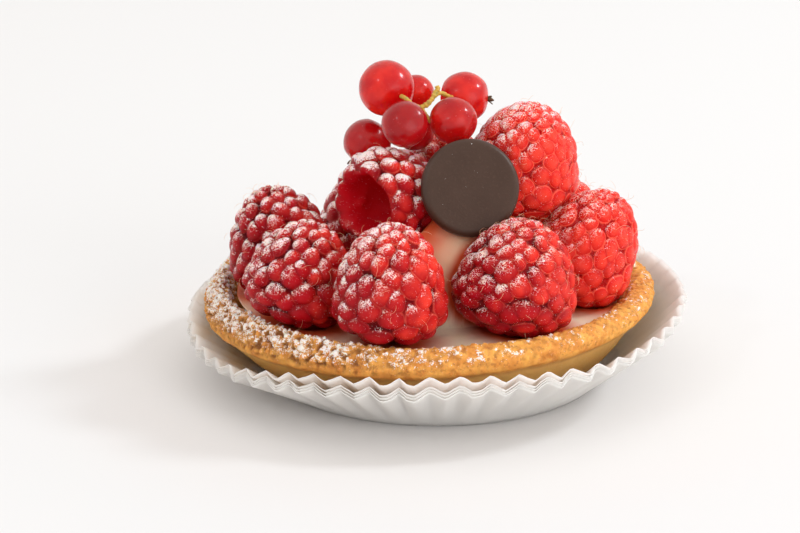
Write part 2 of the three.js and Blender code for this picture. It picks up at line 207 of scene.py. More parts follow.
def make_piece(name, node, slot, *parts):
    """One object from parts of (points, faces, finish, values), standing for a CAD node."""
    points, faces, finishes, values = [], [], [], {}
    start = 0
    for part_points, part_faces, finish, part_values in parts:
        points.append(part_points)
        faces += (np.asarray(part_faces) + start).tolist()
        finishes += [finish] * len(part_faces)
        for key, numbers in part_values.items():
            values.setdefault(key, []).append((start, numbers))
        start += len(part_points)
    mesh = bpy.data.meshes.new(name)
    mesh.from_pydata((np.vstack(points) * MM).tolist(), [], faces)
    mesh.polygons.foreach_set("use_smooth", [True] * len(faces))
    used = list(dict.fromkeys(finishes))
    for finish in used:
        mesh.materials.append(finish)
    mesh.polygons.foreach_set("material_index", [used.index(finish) for finish in finishes])
    for key, filled in values.items():
        whole = np.zeros(start, np.float32)
        for first, numbers in filled:
            whole[first : first + len(numbers)] = numbers
        mesh.attributes.new(key, "FLOAT", "POINT").data.foreach_set("value", whole)
    piece = bpy.data.objects.new(name, mesh)
    bpy.context.scene.collection.objects.link(piece)
    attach(piece, "root")
    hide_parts(node)


def lumps(points, size, seed=0):
    """Smooth noise from -1 to 1 at each point, with lumps of about this size."""
    shift = Vector((17.3, 5.1, 9.7)) * seed
    flat = np.reshape(points, (-1, 3)) / size
    found = [noise.noise(Vector(point) + shift) for point in flat]
    return np.reshape(found, np.shape(points)[:-1])


def step(values, low, high):
    """0 below the first limit, 1 above the second, and a smooth step between them."""
    share = np.clip((values - low) / (high - low), 0, 1)
    return share * share * (3 - 2 * share)


def revolved(radius, height, angle):
    """Rows of points that run round the axis at these radii and heights."""
    return np.stack([radius * np.cos(angle), radius * np.sin(angle), height + 0 * angle], axis=-1)


def grid_faces(rows, columns):
    """Quads between rows of points that each run once round and close on themselves."""
    row, column = np.mgrid[0 : rows - 1, 0:columns]
    after = (column + 1) % columns
    quads = [row * columns + column, row * columns + after]
    quads += [(row + 1) * columns + after, (row + 1) * columns + column]
    return np.stack(quads, axis=-1).reshape(-1, 4)


def grid_normals(grid):
    """Unit normals of a grid whose rows run round, outwards for rows that climb."""
    across = np.roll(grid, -1, axis=1) - np.roll(grid, 1, axis=1)
    normals = np.cross(across, np.gradient(grid, axis=0))
    return normals / np.maximum(np.linalg.norm(normals, axis=2, keepdims=True), 1e-9)


def paper_sheet(order, extra_height):
    """The middle of one pleated sheet, as rows of points from near the axis to the rim."""
    floor = (order + 0.5) * PAPER_PITCH - PAPER_DROP
    columns = PAPER_FOLDS * COLUMNS_PER_FOLD
    fold = np.arange(columns) / COLUMNS_PER_FOLD
    angle = fold * 2 * math.pi / PAPER_FOLDS + PAPER_TURN
    circle = revolved(1, 0, angle)
    uneven = lumps(circle * 12, 1.0, seed=3)
    flute = -np.cos(math.pi * (fold + FLUTE_WANDER * lumps(circle * 30, 1.0, seed=5)))
    flute = np.arcsin(FLUTE_SHARPNESS * flute) / math.asin(FLUTE_SHARPNESS)
    rise = PAPER_RIM_HEIGHT + PAPER_TILT * np.cos(angle)
    near_sags = 0
    for azimuth, depth, spread in PAPER_SAGS:
        away = (np.degrees(angle) - azimuth + 180) % 360 - 180
        near = np.exp(-((away / spread) ** 2))
        rise = rise - depth * near
        near_sags = near_sags + near
    rise = rise + extra_height * (1 - np.minimum(1, near_sags))
    run = PAPER_RIM_RADIUS - PAPER_BASE_RADIUS
    slant = np.hypot(run, rise)
    share = np.linspace(0, 1, PAPER_ROWS)[:, None] ** 0.8
    out = flute * FLUTE_DEPTH / 2 * share**1.3 * (1 + FLUTE_UNEVENNESS * uneven)
    crinkle = lumps(circle * 5, 1.0, seed=11 + order)
    wave = WALL_SWELL * share**2 * uneven + WALL_CRINKLE * share**3 * crinkle
    radius = PAPER_BASE_RADIUS + run * share + (out + wave) * rise / slant
    height = floor + rise * share - (out + wave) * run / slant
    base = [revolved(ring, floor, angle) for ring in PAPER_BASE_RINGS]
    return np.concatenate([np.array(base), revolved(radius, height, angle)])


paper = Finish("greaseproof_paper")
fibre = paper.speckle(0.5, detail=4)
cloud = paper.speckle(6, detail=2, seed=1)
greasy = paper.made_from("grease") * cloud.between(0.38, 0.62)
paper_colour = paper.mix(cloud, (0.965, 0.95, 0.93), (0.985, 0.975, 0.96))
paper_colour = paper.mix(greasy * 0.6, paper_colour, (0.90, 0.78, 0.60))
paper_relief = paper.bump(fibre, 0.03)
sheet_face = paper.principled(
    Base_Color=paper_colour,
    Roughness=0.62 - 0.15 * greasy,
    Specular_IOR_Level=0.3,
    Normal=paper_relief,
)
seen_through = paper.node("ShaderNodeBsdfTranslucent", {}, {"Color": paper_colour})
greaseproof = paper.done(
    paper.node("ShaderNodeMixShader", {}, {0: 0.62, 1: sheet_face, 2: seen_through})
)
for order, extra_height in enumerate(PAPER_EXTRA_HEIGHTS):
    middle = paper_sheet(order, extra_height)
    normals = grid_normals(middle)
    outside = middle + normals * PAPER_THICKNESS / 2
    inside = middle - normals * PAPER_THICKNESS / 2
    sheet = np.concatenate([outside, inside[::-1]])
    from_crust = np.hypot(sheet[..., 0] - GREASE_CENTRE_X, sheet[..., 1])
    grease = step(from_crust, *GREASE_RADII) * (order >= CLEAN_PAPERS)
    grease = grease * step(-sheet[..., 0], *GREASE_SIDE)
    faces = grid_faces(*sheet.shape[:2])
    make_piece(
        f"pleated_paper_{order + 1}",
        f"paper_case_{order + 1}",
        "paper",
        (sheet.reshape(-1, 3), faces, greaseproof, {"grease": grease.ravel()}),
    )

# The shell is shortcrust pastry, rolled thick, pressed into a flared tin and baked golden brown.
# Its top edge bulges over the tin's lip, is rough and crumbly, and was dusted with icing sugar.
SHELL_CENTRE_X = -1.5
SHELL_FLOOR = 1.65
SHELL_TOP = 19.2
SHELL_LIP = (45.1, 15.3)
SHELL_CREASE = (43.1, 13.3)
SHELL_SKEW = 0.04
SHELL_RIPPLE = 0.25
SHELL_LIFT = 0.15
SHELL_COLUMNS = 840
SHELL_ROWS = 92
# beyond this radius and height the crust shows; elsewhere its rows lie further apart
SHOWN_FROM = (38, 8)
HIDDEN_WEIGHT = 0.14
# heights between which the plain wall ends and the crumbly rim begins
WALL_HEIGHTS = (13.8, 12.4)
WALL_LEAST_RADIUS = 36
CRUMBLY_HEIGHTS = (13.9, 15.6)
# the middle of the shade under the lip, and how far it reaches
SHADE_MIDDLE = (43.2, 13.2)
SHADE_REACH = (1.3, 0.2)
# the rim held together best on this side, and crumbled most on the opposite one
FIRM_SIDE = math.radians(10)
SHELL_PROFILE = np.array(
    [
        (0.5, SHELL_FLOOR),
        (31, SHELL_FLOOR),
        (33, SHELL_FLOOR + 0.9),
        (35.2, SHELL_FLOOR + 2.8),
        (37.8, SHELL_FLOOR + 5.4),
        (40.4, 10.15),
        SHELL_CREASE,
        (44.5, 14),
        SHELL_LIP,
        (44.8, 16.9),
        (44, 18),
        (42.2, 19.15),
        (40.7, 18.9),
        (38.9, 16.5),
        (31, SHELL_FLOOR + 4.4),
        (28, SHELL_FLOOR + 3.4),
        (0.5, SHELL_FLOOR + 3.4),
    ]
)


def rounded(profile, rounds=2):
    """The profile with its corners cut back, keeping its two ends."""
    for _ in range(rounds):
        first, second = profile[:-1], profile[1:]
        cut = np.stack([0.75 * first + 0.25 * second, 0.25 * first + 0.75 * second], axis=1)
        profile = np.vstack([profile[:1], cut.reshape(-1, 2), profile[-1:]])
    return profile


def spaced(profile, rows, weight):
    """The profile as this many points, closer together where its weight is greater."""
    fine = np.vstack([np.linspace(a, b, 40, endpoint=False) for a, b in zip(profile, profile[1:])])
    fine = np.vstack([fine, profile[-1:]])
    lengths = np.linalg.norm(np.diff(fine, axis=0), axis=1) * weight(fine[1:])
    reached = np.concatenate([[0], np.cumsum(lengths)])
    wanted = np.linspace(0, reached[-1], rows)
    return np.stack([np.interp(wanted, reached, fine[:, axis]) for axis in (0, 1)], axis=-1)


def crumbs(points, size, seed=0):
    """1 at the middle of each crumb and 0 in the cracks between them."""
    shift = Vector((3.1, 7.7, 1.9)) * seed
    flat = np.reshape(points, (-1, 3)) / size
    found = [noise.voronoi(Vector(point) + shift)[0] for point in flat]
    gaps = np.array([second - first for first, second, *_ in found])
    return np.reshape(np.clip(gaps * 2.2, 0, 1), np.shape(points)[:-1])


profile = spaced(
    rounded(SHELL_PROFILE),
    SHELL_ROWS,
    lambda place: np.where((place > SHOWN_FROM).all(axis=1), 1, HIDDEN_WEIGHT),
)
angle = np.arange(SHELL_COLUMNS) * 2 * math.pi / SHELL_COLUMNS
share = np.clip((profile[:, 1] - SHELL_FLOOR) / (SHELL_TOP - SHELL_FLOOR), 0, 1)[:, None]
ripple = np.sin(3 * angle + 0.6) + 0.7 * np.sin(7 * angle + 2) + 0.5 * np.sin(13 * angle)
radius = profile[:, :1] * (1 + SHELL_RIPPLE * share * ripple / SHELL_LIP[0] / 2)
lift = SHELL_LIFT * share**3 * (np.sin(5 * angle + 1) + 0.6 * np.sin(11 * angle + 4))
shell = revolved(radius, profile[:, 1:] + lift, angle)
shell[..., 2] += SHELL_SKEW * np.sin(math.pi * share**2) * shell[..., 0]
shell_normals = grid_normals(shell)
height = np.broadcast_to(profile[:, 1:], shell.shape[:2])
outer = np.broadcast_to(profile[:, :1], shell.shape[:2])
crumbly = step(height, *CRUMBLY_HEIGHTS)
wall_part = step(height, *WALL_HEIGHTS) * (outer > WALL_LEAST_RADIUS)
left = step(-np.cos(angle - FIRM_SIDE), -0.5, 1.0)
brittle = left**2
lump, fine_lump = lumps(shell, 3.6, seed=1), lumps(shell, 1.3, seed=2)
crumb, fine_crumb = crumbs(shell, 1.5, seed=1), crumbs(shell, 0.8, seed=2)
pitted = step(lumps(shell, 1.1, seed=4), 0.12, 0.36) * crumbly * (0.25 + 0.75 * brittle)
# lumps, crumbs and pits on the rim, deepest where it is brittle, and a faint unevenness below
relief = 0.18 * lump + 0.14 * fine_lump + (0.28 + 0.36 * brittle) * (crumb - 0.7)
relief = crumbly * (relief + 0.24 * (fine_crumb - 0.6)) - (0.3 + 0.35 * brittle) * pitted
relief += (1 - crumbly) * (0.14 * lump + 0.05 * fine_lump)
# icing sugar in patches on what faces up, thicker on the left and thin in cracks and pits
sugar = 0.9 * lumps(shell, 2.4, seed=7) + 1.1 * lumps(shell, 0.8, seed=8) + 0.9 * left
sugar = step(sugar, -0.1, 0.9) * step(height, 15.6 - 0.8 * left, 17.8)
sugar = sugar * step(shell_normals[..., 2], -0.45, 0.3)
sugar = sugar * (1 - 0.85 * pitted) * (0.45 + 0.55 * crumb)
relief += 0.10 * sugar * (0.4 + fine_crumb)
shell = shell + relief[..., None] * shell_normals
shell[..., 0] += SHELL_CENTRE_X

pastry = Finish("baked_shortcrust")
grain = pastry.speckle(0.3, detail=3, roughness=0.65)
toasted = pastry.speckle(2.2, detail=3, seed=2)
patches = pastry.speckle(9, detail=2, seed=3)
flecks = pastry.speckle(0.8, detail=2, seed=4)
dusting = pastry.made_from("sugar")
rough_part = pastry.made_from("crumbly")
pit_shade_part = pastry.made_from("pits")
crease_shade_part = pastry.made_from("crease")
base_part = pastry.made_from("wall")
pastry_colour = pastry.mix(toasted.between(0.35, 0.68), (0.90, 0.43, 0.095), (0.70, 0.26, 0.05))
pastry_colour = pastry.mix(patches.between(0.4, 0.7) * 0.5, pastry_colour, (0.80, 0.38, 0.08))
pastry_colour = pastry.mix(base_part * 0.85, pastry_colour, (0.96, 0.57, 0.18))
pastry_colour = pastry.mix(
    flecks.between(0.54, 0.68) * rough_part * 0.6, pastry_colour, (0.42, 0.15, 0.04)
)
# painted shade: near-black brown in the pits and in the cracks between crumbs, more where the rim is brittle
pastry_colour = pastry.mix(pit_shade_part * 0.85, pastry_colour, (0.17, 0.05, 0.018))
# painted shade in the crease under the lip
pastry_colour = pastry.mix(crease_shade_part * 0.3, pastry_colour, (0.42, 0.19, 0.07))
sugared = (dusting * 1.25 + (grain - 0.5) * 3.4).between(0.6, 0.85)
pastry_colour = pastry.mix(sugared * 0.9, pastry_colour, (0.93, 0.90, 0.87))
shortcrust = pastry.skin(
    Base_Color=pastry_colour,
    Roughness=0.62 + 0.25 * sugared,
    Specular_IOR_Level=0.22,
    Subsurface_Weight=0.25,
    Subsurface_Radius=(1.0, 0.45, 0.2),
    Subsurface_Scale=1.2 * MM,
    Normal=pastry.bump(grain + flecks * 0.6, 0.22),
)
# painted shade in the crease under the lip, strongest at its middle
crease = step(np.hypot(outer - SHADE_MIDDLE[0], height - SHADE_MIDDLE[1]), *SHADE_REACH)
shell_values = {
    "sugar": sugar.ravel(),
    "crumbly": crumbly.ravel(),
    # painted shade in the pits and in the cracks between crumbs
    "pits": np.clip(pitted + crumbly * (1 - crumb) * (0.05 + 0.5 * brittle), 0, 1).ravel(),
    "crease": crease.ravel(),
    "wall": wall_part.ravel(),
}
make_piece(
    "baked_shell",
    "pastry_shell",
    "pastry",
    (shell.reshape(-1, 3), grid_faces(SHELL_ROWS, SHELL_COLUMNS), shortcrust, shell_values),
)

# The filling is pastry cream, ivory and smooth, levelled inside the crust and heaped in the
# middle to carry the fruit. It was piped and smoothed, so it has soft swells and no edges, and
# it gives way under each raspberry.
CREAM_LEVEL = 16.5
CREAM_EDGE_RADIUS = 38.3
CREAM_UNDERSIDE = np.array([(37.0, 14.6), (31, 6.6), (27, 5.4), (0.3, 5.4)])
MOUND_CENTRE = np.array([2.6, -4.6])
MOUND_RADIUS = 18.8
MOUND_TOP = 36.5
CREAM_COLUMNS = 260
CREAM_ROWS = 100
CREAM_SWELL = 0.35
CREAM_RIPPLE = 0.12
# the cream sinks in this many small steps wherever a berry presses, down to a least height
PRESS_STEPS = 70
PRESS_STEP = 0.3
PRESSED_LEAST = SHELL_FLOOR + 6
# how far the juice stain and painted shade reach from a berry into the cream, and how many times further
# they reach round these berries
JUICE_AND_SHADE_SPREAD = 1.7
FURTHER_REACH = {"top_left": 3.4, "left": 2.0, "front_left": 1.9}
# heights between which painted shade sets in on the heap, tan from the berries' red light
HEAP_SHADE_HEIGHTS = (19, 29)
BERRY_TAPER = 0.13
BERRY_FULLNESS = 0.28
# name: (middle, way that its tip points, width and length, how many drupelets, sugar from 0 to 1,
# warmth of its red from 0 to 1, partly its own colour and partly painted light from the right, steps
# of its mesh)
RASPBERRIES = {
    "left": ((-31.2, -0.1, 26.6), (-0.2, 0.1, 1), (20.4, 22.4), 100, 0.7, 0.15, 62),
    "front_left": ((-25.9, -20.3, 26.2), (0.3, 0.25, 1), (20.2, 21.0), 95, 0.55, 0.3, 62),
    "front": ((-8.9, -32.0, 28.0), (0.05, 0.15, 1), (20.8, 23.4), 95, 0.6, 0.42, 66),
    "front_right": ((14.9, -25.3, 27.1), (0.2, 0.25, 1), (22.6, 22.8), 125, 0.4, 0.42, 68),
    "right": ((29.6, -7.4, 27.6), (0.5, 0.1, 1), (20.0, 24.0), 125, 0.25, 0.9, 66),
    "back_right": ((24.4, 15.8, 26.2), (-0.3, -0.2, 1), (20.2, 21.2), 80, 0.3, 0.9, 40),
    "back": ((7.4, 28.2, 26.4), (-0.1, -0.3, 1), (20.4, 21.6), 80, 0.5, 0.6, 40),
    "back_left": ((-13.3, 19.8, 26.0), (0.2, -0.3, 1), (19.8, 21.2), 80, 0.7, 0.3, 44),
    "top_right": ((17.3, -0.9, 43.8), (0.18, -0.15, 1), (21.6, 22.8), 140, 0.5, 1.0, 70),
    "top_left": ((-8.0, -7.2, 36.9), (0.72, 0.69, 0.0), (20.9, 21.0), 105, 1.0, 0.25, 66),
    "top_back": ((1.8, 11.6, 36.4), (0.1, 0.5, 1), (19.2, 20.4), 80, 0.5, 0.5, 40),
}


def turned_to(tip):
    """The rotation that stands +Z up along the tip's direction."""
    return np.array(Vector((0, 0, 1)).rotation_difference(Vector(tip)).to_matrix())


def berry_spread(up):
    """How wide a berry is at a height, from -1 at its base to 1 at its tip."""
    return 1 - BERRY_TAPER * up + BERRY_FULLNESS * np.maximum(0, -up)


def off_berry(points, middle, tip, size):
    """How far each point is from the body of a berry, less than 0 inside it."""
    width, length = size
    local = (points - np.array(middle)) @ turned_to(tip)
    local = local / (np.array([width, width, length]) / 2)
    local[:, :2] /= berry_spread(np.clip(local[:, 2:], -1, 1))
    return (np.linalg.norm(local, axis=1) - 1) * width / 2


def cream_height(x, y):
    """How high the cream stands at a place: a rounded heap on a level bed."""
    away = np.hypot(x - MOUND_CENTRE[0], y - MOUND_CENTRE[1]) / MOUND_RADIUS
    turned = np.arccos(np.clip(away, 0, 1) ** 2)
    return CREAM_LEVEL + (MOUND_TOP - CREAM_LEVEL) * np.sin(turned) ** 0.9


angle = np.arange(CREAM_COLUMNS) * 2 * math.pi / CREAM_COLUMNS
radius = np.linspace(CREAM_UNDERSIDE[-1, 0], CREAM_EDGE_RADIUS, CREAM_ROWS)[:, None]
cream = revolved(radius, 0 * radius, angle).reshape(-1, 3)
cream[:, 0] += SHELL_CENTRE_X
cream[:, 2] = cream_height(cream[:, 0], cream[:, 1])
cream[:, 2] += CREAM_SWELL * lumps(cream, 7, seed=2) + CREAM_RIPPLE * lumps(cream, 2.2, seed=3)
for middle, tip, size, *_ in RASPBERRIES.values():
    for _ in range(PRESS_STEPS):
        pressed = off_berry(cream, middle, tip, size) < 0
        cream[pressed & (cream[:, 2] > PRESSED_LEAST), 2] -= PRESS_STEP
# juice stain and painted shade: the cream darkens towards orange-red close to each berry
juice = np.zeros(len(cream))
for name, (middle, tip, size, *_) in RASPBERRIES.items():
    spread = JUICE_AND_SHADE_SPREAD * FURTHER_REACH.get(name, 1)
    away = np.maximum(0, off_berry(cream, middle, tip, size))
    juice = np.maximum(juice, np.exp(-away / spread))
dry = np.zeros((len(CREAM_UNDERSIDE), CREAM_COLUMNS))
juice = np.concatenate([juice.reshape(CREAM_ROWS, CREAM_COLUMNS), dry])[::-1].ravel()
cream = cream.reshape(CREAM_ROWS, CREAM_COLUMNS, 3)
underside = revolved(CREAM_UNDERSIDE[:, :1], CREAM_UNDERSIDE[:, 1:], angle)
underside[..., 0] += SHELL_CENTRE_X
cream = np.concatenate([cream, underside])[::-1]

custard = Finish("pastry_cream")
cream_cloud = custard.speckle(7, detail=2)
cream_grain = custard.speckle(0.6, detail=3, seed=1)
juice_stain_and_shade = (custard.made_from("juice") + (cream_cloud - 0.5) * 0.3).between(0.05, 0.8)
cream_colour = custard.mix(cream_cloud, (0.98, 0.81, 0.57), (0.98, 0.88, 0.70))
height_here = custard.node("ShaderNodeSeparateXYZ", {}, {0: custard.place}, output=2)
painted_heap_shade = height_here.between(*(limit * MM for limit in HEAP_SHADE_HEIGHTS))
# painted shade on the heap among the berries, tan with their red light
cream_colour = custard.mix(painted_heap_shade * 0.6, cream_colour, (0.84, 0.55, 0.33))
# juice stain and painted shade near the berries, in orange-red
cream_colour = custard.mix(juice_stain_and_shade, cream_colour, (0.66, 0.10, 0.03))
smooth_cream = custard.skin(
    Base_Color=cream_colour,
    Roughness=0.38 + 0.1 * cream_grain,
    Specular_IOR_Level=0.2,
    Subsurface_Weight=0.5,
    Subsurface_Radius=(1.0, 0.7, 0.4),
    Subsurface_Scale=2 * MM,
    Normal=custard.bump(cream_grain, 0.05),
)
make_piece(
    "heaped_cream",
    "cream_filling",
    "cream",
    (cream.reshape(-1, 3), grid_faces(*cream.shape[:2]), smooth_cream, {"juice": juice}),
)

# Eleven raspberries: a ring on the cream, and three more on the heap. Each is a cone of about
# a hundred round drupelets with wet translucent skins, a fine dry hair on many of them, and
# icing sugar on what faces up. One lies tipped, and its open core shows.
OPEN_BERRY = "top_left"
# the sizes of the drupelets are those on a berry with this many, and more are smaller
COARSE_COUNT = 70
DRUPELET_RELIEF = 2.9
DRUPELET_REACH = 0.325
DRUPELET_NUDGE = 0.2
DRUPELET_GRADING = 1.14
SEAM_DEPTH = 0.7
GOLDEN_ANGLE = math.pi * (3 - math.sqrt(5))
# the share of drupelets without a hair; none grows below this height round the open mouth
BALD_SHARE = 0.62
BALD_BELOW = -0.6
HAIR_ROWS = 7
HAIR_SIDES = (0, 2.1, 4.2)
HAIR_RADIUS = 0.042
HOLLOW_MOUTH = math.radians(37)
HOLLOW_RADIUS = 6.4
HOLLOW_FLOOR = 4.3


def chance(index, series):
    """A number from 0 to 1 that looks random and is always the same for the same two numbers."""
    value = np.sin(index * 12.9898 + series * 78.233) * 43758.5453
    return value - np.floor(value)


def repeated(faces, times):
    """The faces of one small shape, for this many such shapes whose points follow each other."""
    return np.vstack([faces + number * (faces.max() + 1) for number in range(times)])


def ball(steps):
    """Directions spread evenly over a ball, and the quads that join them."""
    run = np.tan(np.linspace(-math.pi / 4, math.pi / 4, steps + 1))
    u, v = (part.ravel() for part in np.meshgrid(run, run, indexing="ij"))
    sides = []
    for axis in range(3):
        for way in (1, -1):
            side = np.empty((len(u), 3))
            side[:, axis] = way
            side[:, (axis + 1) % 3], side[:, (axis + 2) % 3] = u, way * v
            sides.append(side)
    i, j = (part.ravel() for part in np.mgrid[0:steps, 0:steps])
    corner = i * (steps + 1) + j
    quad = np.stack([corner, corner + steps + 1, corner + steps + 2, corner + 1], axis=-1)
    every = np.vstack(sides)
    every /= np.linalg.norm(every, axis=1, keepdims=True)
    _, first, same = np.unique(np.round(every, 5), axis=0, return_index=True, return_inverse=True)
    return every[first], same.ravel()[repeated(quad, 6)]


def drupelet_scale(count):
    """How large the drupelets are on a berry with this many."""
    return math.sqrt(COARSE_COUNT / count)


def drupelet_directions(count, order):
    """Where the drupelets sit on their berry: an even spiral, a little out of true."""
    index, series = np.arange(count), order + 1
    rise = 1 - 2 * ((index + 0.5) / count) ** DRUPELET_GRADING
    turn = index * GOLDEN_ANGLE + series
    flat = np.sqrt(1 - rise**2)
    even = np.stack([flat * np.cos(turn), flat * np.sin(turn), rise], axis=-1)
    nudges = np.stack([chance(index, series + k) - 0.5 for k in (0, 50, 60)], axis=-1)
    nudged = even + DRUPELET_NUDGE * drupelet_scale(count) * nudges
    return nudged / np.linalg.norm(nudged, axis=1, keepdims=True)


def berry_surface(directions, sink, width, length):
    """Points of a berry's body this far under its skin."""
    up = directions[:, 2]
    across = directions[:, :2] * ((width / 2 - sink) * berry_spread(up))[:, None]
    return np.column_stack([across, up * (length / 2 - sink)])


def point_normals(points, faces):
    """Unit normals at the points of a mesh of quads."""
    corners = points[faces]
    flat = np.cross(corners[:, 2] - corners[:, 0], corners[:, 3] - corners[:, 1])
    normals = np.zeros_like(points)
    for corner in range(4):
        np.add.at(normals, faces[:, corner], flat)
    return normals / np.maximum(np.linalg.norm(normals, axis=1, keepdims=True), 1e-9)


def hair(root, out, along, length, curl):
    """A fine dry hair: a three-sided tube that leaves the skin and bends over."""
    side = np.cross(out, along)
    rings = []
    for share in np.linspace(0, 1, HAIR_ROWS):
        bend = curl * share
        middle = root + length * share * (out * math.cos(bend) * 0.8 + along * math.sin(bend))
        middle = middle + side * 0.25 * length * math.sin(3 * share) * share
        thick = HAIR_RADIUS * (1 - 0.6 * share)
        for turn in HAIR_SIDES:
            rings.append(middle + thick * (side * math.cos(turn) + out * math.sin(turn)))
    return np.array(rings)


raspberry = Finish("raspberry_skin")
swell = raspberry.made_from("swell")
sugar_here = raspberry.made_from("sugar")
core_here = raspberry.made_from("core")
ripe = raspberry.made_from("ripe")
berry_grain = raspberry.speckle(0.24, detail=3, roughness=0.7)
berry_cloud = raspberry.speckle(2.4, detail=2, seed=5)
warmth_with_painted_light = raspberry.made_from("warmth")
# each red, with painted shade in the seam, a painted pale rim of light at a drupelet's edge, its flank, and
# its round top painted lighter as if lit through
crimson_stops = [
    (0.0, (0.13, 0.0, 0.002)),
    (0.14, (0.38, 0.012, 0.014)),
    (0.32, (0.27, 0.0005, 0.004)),
    (1.0, (0.45, 0.002, 0.008)),
]
orange_stops = [
    (0.0, (0.50, 0.001, 0.002)),
    (0.14, (0.93, 0.12, 0.07)),
    (0.32, (0.70, 0.008, 0.007)),
    (1.0, (0.84, 0.052, 0.027)),
]
crimson = raspberry.node("ShaderNodeValToRGB", {"stops": crimson_stops}, {0: swell})
orange_red = raspberry.node("ShaderNodeValToRGB", {"stops": orange_stops}, {0: swell})
# painted light: the red turns warmer and lighter where light is painted in from the right
warmth_and_light_here = (warmth_with_painted_light + (ripe - 0.5) * 0.35 + (berry_cloud - 0.5) * 0.9).between(0.1, 1.0)
berry_colour = raspberry.mix(warmth_and_light_here, crimson, orange_red)
berry_colour = raspberry.mix(core_here, berry_colour, (0.62, 0.004, 0.012))
# white specks, partly icing sugar and partly painted glints
sugar_and_glint_speck = raspberry.speckle(0.34, detail=1, seed=8).between(0.68, 0.72)
frosting_and_glints = (sugar_here * 1.25 + (berry_grain - 0.5) * 3.8 + sugar_and_glint_speck * 0.5).between(0.70, 0.86)
berry_colour = raspberry.mix(frosting_and_glints * 0.92, berry_colour, (0.97, 0.90, 0.89))
# painted glints: thin curly pinkish-white lines where the sugar lies and on the warmer berries
wave = raspberry.speckle(1.1, detail=2, roughness=0.6, seed=13) - 0.5
glint = (wave * wave).between(0.0011, 0.0003)
glint = glint * (sugar_here * 1.6 + warmth_with_painted_light * 0.16 - 0.04).between(0.02, 0.9)
berry_colour = raspberry.mix(glint * 0.75, berry_colour, (1.0, 0.74, 0.66))
drupelet_skin = raspberry.skin(
    Base_Color=berry_colour,
    Roughness=0.11 + 0.5 * frosting_and_glints,
    Specular_IOR_Level=0.16,
    Subsurface_Weight=0.55,
    Subsurface_Radius=(1.0, 0.10, 0.05),
    Subsurface_Scale=1.6 * MM,
    Normal=raspberry.bump(berry_grain + berry_cloud * 0.6, 0.2),
)
strand = Finish("dry_hair")
straw = strand.mix(strand.speckle(1.5), (0.72, 0.26, 0.10), (0.95, 0.72, 0.48))
dry_hair = strand.skin(Base_Color=straw, Roughness=0.45)

